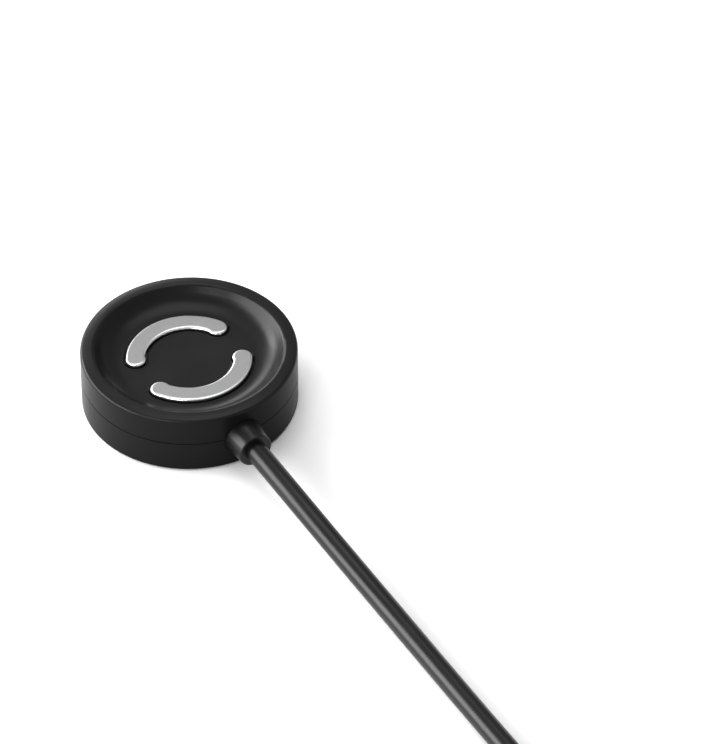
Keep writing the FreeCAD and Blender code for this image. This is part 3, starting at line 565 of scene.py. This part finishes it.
@dataclass
class Tie:
    """Woven tape round one side of the hank, its free end laid over its start.

    Sizes are in millimetres: lengths across the hank are from the tape's middle.
    """

    middle_x: float = -28.3
    middle_z: float = 3.8
    north_y: float = -126.5
    width: float = 7.0
    half_across: float = 4.85
    half_up: float = 3.25
    corner: float = 1.45
    sheet: float = 0.45
    # Rise of the free end over the start, in thicknesses of the tape
    lap: float = 1.1
    start: float = 0.9
    ramp: tuple[float, float] = (3.0, 1.3)
    end: float = -2.9
    arc_steps: int = 6
    rows: int = 4
    edge: float = 0.09
    edge_steps: int = 2

    def line(self) -> list[tuple[float, float]]:
        """The tape's middle line across the hank, from under the overlap to the free end."""
        side, top = self.half_across + self.sheet / 2, self.half_up + self.sheet / 2
        bend = self.corner + self.sheet / 2
        points = [(self.start, top)]
        centres = ((-1, 1), (-1, -1), (1, -1), (1, 1))
        for quarter, (across, up) in enumerate(centres, start=1):
            for i in range(self.arc_steps + 1):
                angle = math.pi / 2 * (quarter + i / self.arc_steps)
                x = across * (side - bend) + bend * math.cos(angle)
                points.append((x, up * (top - bend) + bend * math.sin(angle)))
        raised = top + self.sheet * self.lap
        middle = sum(self.ramp) / 2
        points += [(self.ramp[0], top), (middle, (top + raised) / 2), (self.ramp[1], raised)]
        points += [((self.ramp[1] + self.end) / 2, raised), (self.end, raised)]
        return points

    def build(self) -> None:
        """Makes the tape as a strip with a thickness and softened edges."""
        mesh = bpy.data.meshes.new("woven_tie")
        strip = bmesh.new()
        layer = strip.loops.layers.uv.new("tape")
        line = self.line()
        along = [0.0]
        for (x0, z0), (x1, z1) in zip(line, line[1:]):
            along.append(along[-1] + math.hypot(x1 - x0, z1 - z0))
        places = {}
        rows = []
        for (x, z), length in zip(line, along):
            row = []
            for i in range(self.rows + 1):
                down = self.width * i / self.rows
                place = (self.middle_x + x, self.north_y - down, self.middle_z + z)
                vertex = strip.verts.new(tuple(value * MM for value in place))
                places[vertex] = (length * MM, down * MM)
                row.append(vertex)
            rows.append(row)
        for row, after in zip(rows, rows[1:]):
            for i in range(self.rows):
                face = strip.faces.new((row[i], row[i + 1], after[i + 1], after[i]))
                face.smooth = True
                for loop in face.loops:
                    loop[layer].uv = places[loop.vert]
        strip.to_mesh(mesh)
        strip.free()
        piece = bpy.data.objects.new("woven_tie", mesh)
        bpy.context.scene.collection.objects.link(piece)
        mesh.materials.append(TAPE.build())
        thick = piece.modifiers.new("Thickness", "SOLIDIFY")
        thick.thickness = self.sheet * MM
        thick.offset = 0.0
        soft = piece.modifiers.new("Edges", "BEVEL")
        soft.width = self.edge * MM
        soft.segments = self.edge_steps
        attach(piece, "dock")
        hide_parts("cord_tie")
        LOG.info("woven_tie: %d rows", len(rows))


@dataclass(frozen=True)
class Softbox:
    """An area light that faces the dock, placed as the camera sees the table.

    Its place is in metres to the camera's right, away from it, and up.
    """

    name: str
    place: Point
    width: float
    height: float
    power: float

    def build(self, azimuth: float) -> None:
        """Hangs the light.

        Args:
            azimuth: The camera's turn about the dock in degrees.
        """
        data = bpy.data.lights.new(self.name, "AREA")
        data.shape = "RECTANGLE"
        data.size = self.width
        data.size_y = self.height
        data.energy = self.power
        light = bpy.data.objects.new(self.name, data)
        bpy.context.scene.collection.objects.link(light)
        light.location = Matrix.Rotation(math.radians(azimuth), 3, "Z") @ Vector(self.place)
        light.rotation_euler = light.location.to_track_quat("Z", "Y").to_euler()
        LOG.info("light %s", self.name)


@dataclass
class Studio:
    """Table, camera and soft light. Lengths are in metres, angles in degrees."""

    azimuth: float = -30.7
    elevation: float = 42.176
    distance: float = 0.8171
    focal_px: float = 5700.0
    width_px: float = 717.0
    height_px: float = 744.0
    foot_px: tuple[float, float] = (190.199, 396.762)
    sensor_mm: float = 36.0
    nearest: float = 0.05
    table_half: float = 3.0
    table_drop: float = 0.00002
    room: float = 0.5
    exposure: float = 0.3
    gamma: float = 0.79
    lights: tuple[Softbox, ...] = (
        Softbox("Left", (-0.8, 0.0, 0.3), 1.5, 0.55, 15.0),
        Softbox("Behind", (-0.6, 1.0, 0.45), 1.1, 0.5, 6.0),
        Softbox("Front", (-0.4, -0.9, 0.5), 0.5, 0.35, 3.0),
        Softbox("Above", (0.1, 0.2, 1.1), 0.9, 0.9, 4.0),
    )

    def build(self) -> None:
        """Sets the table, the camera and the lights."""
        self.table()
        self.camera()
        self.world()
        for softbox in self.lights:
            softbox.build(self.azimuth)

    def camera(self) -> None:
        """Places the camera so that the middle of the dock's foot falls on its pixel."""
        data = bpy.data.cameras.new("Camera")
        data.sensor_width = self.sensor_mm
        data.lens = self.focal_px / self.height_px * self.sensor_mm
        data.clip_start = self.nearest
        camera = bpy.data.objects.new("Camera", data)
        bpy.context.scene.collection.objects.link(camera)
        turn = Matrix.Rotation(math.radians(self.azimuth), 4, "Z")
        tilt = Matrix.Rotation(math.radians(90 - self.elevation), 4, "X")
        frame = (turn @ tilt).to_3x3()
        scale = self.distance / self.focal_px
        across = (self.foot_px[0] - self.width_px / 2) * scale
        down = (self.foot_px[1] - self.height_px / 2) * scale
        camera.location = frame @ Vector((-across, down, self.distance))
        camera.rotation_euler = frame.to_euler()
        bpy.context.scene.camera = camera

    def table(self) -> None:
        """Wide plain table top, just under the foot."""
        mesh = bpy.data.meshes.new("table")
        ways = ((-1, -1), (1, -1), (1, 1), (-1, 1))
        half = self.table_half
        corners = [(x * half, y * half, -self.table_drop) for x, y in ways]
        mesh.from_pydata(corners, [], [(0, 1, 2, 3)])
        table = bpy.data.objects.new("table", mesh)
        bpy.context.scene.collection.objects.link(table)
        mesh.materials.append(Finish("WhiteCard", "#fafafa", 0.9).build())

    def world(self) -> None:
        """A pale room, shown with clean whites."""
        scene = bpy.context.scene
        scene.view_settings.view_transform = "Standard"
        scene.view_settings.exposure = self.exposure
        scene.view_settings.gamma = self.gamma
        world = bpy.data.worlds.new("Room")
        world.use_nodes = True
        background = world.node_tree.nodes["Background"]
        white = (1.0, 1.0, 1.0, 1.0)
        Graph(world.node_tree).feed(background, {"Color": white, "Strength": self.room})
        scene.world = world


def main() -> None:
    """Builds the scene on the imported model."""
    logging.basicConfig(level=logging.INFO)
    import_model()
    Studio().build()
    Tie().build()
    Cord().build()
    Dock().build()
    Plug().build()
    bpy.context.view_layer.update()


if __name__ == "__main__":
    main()
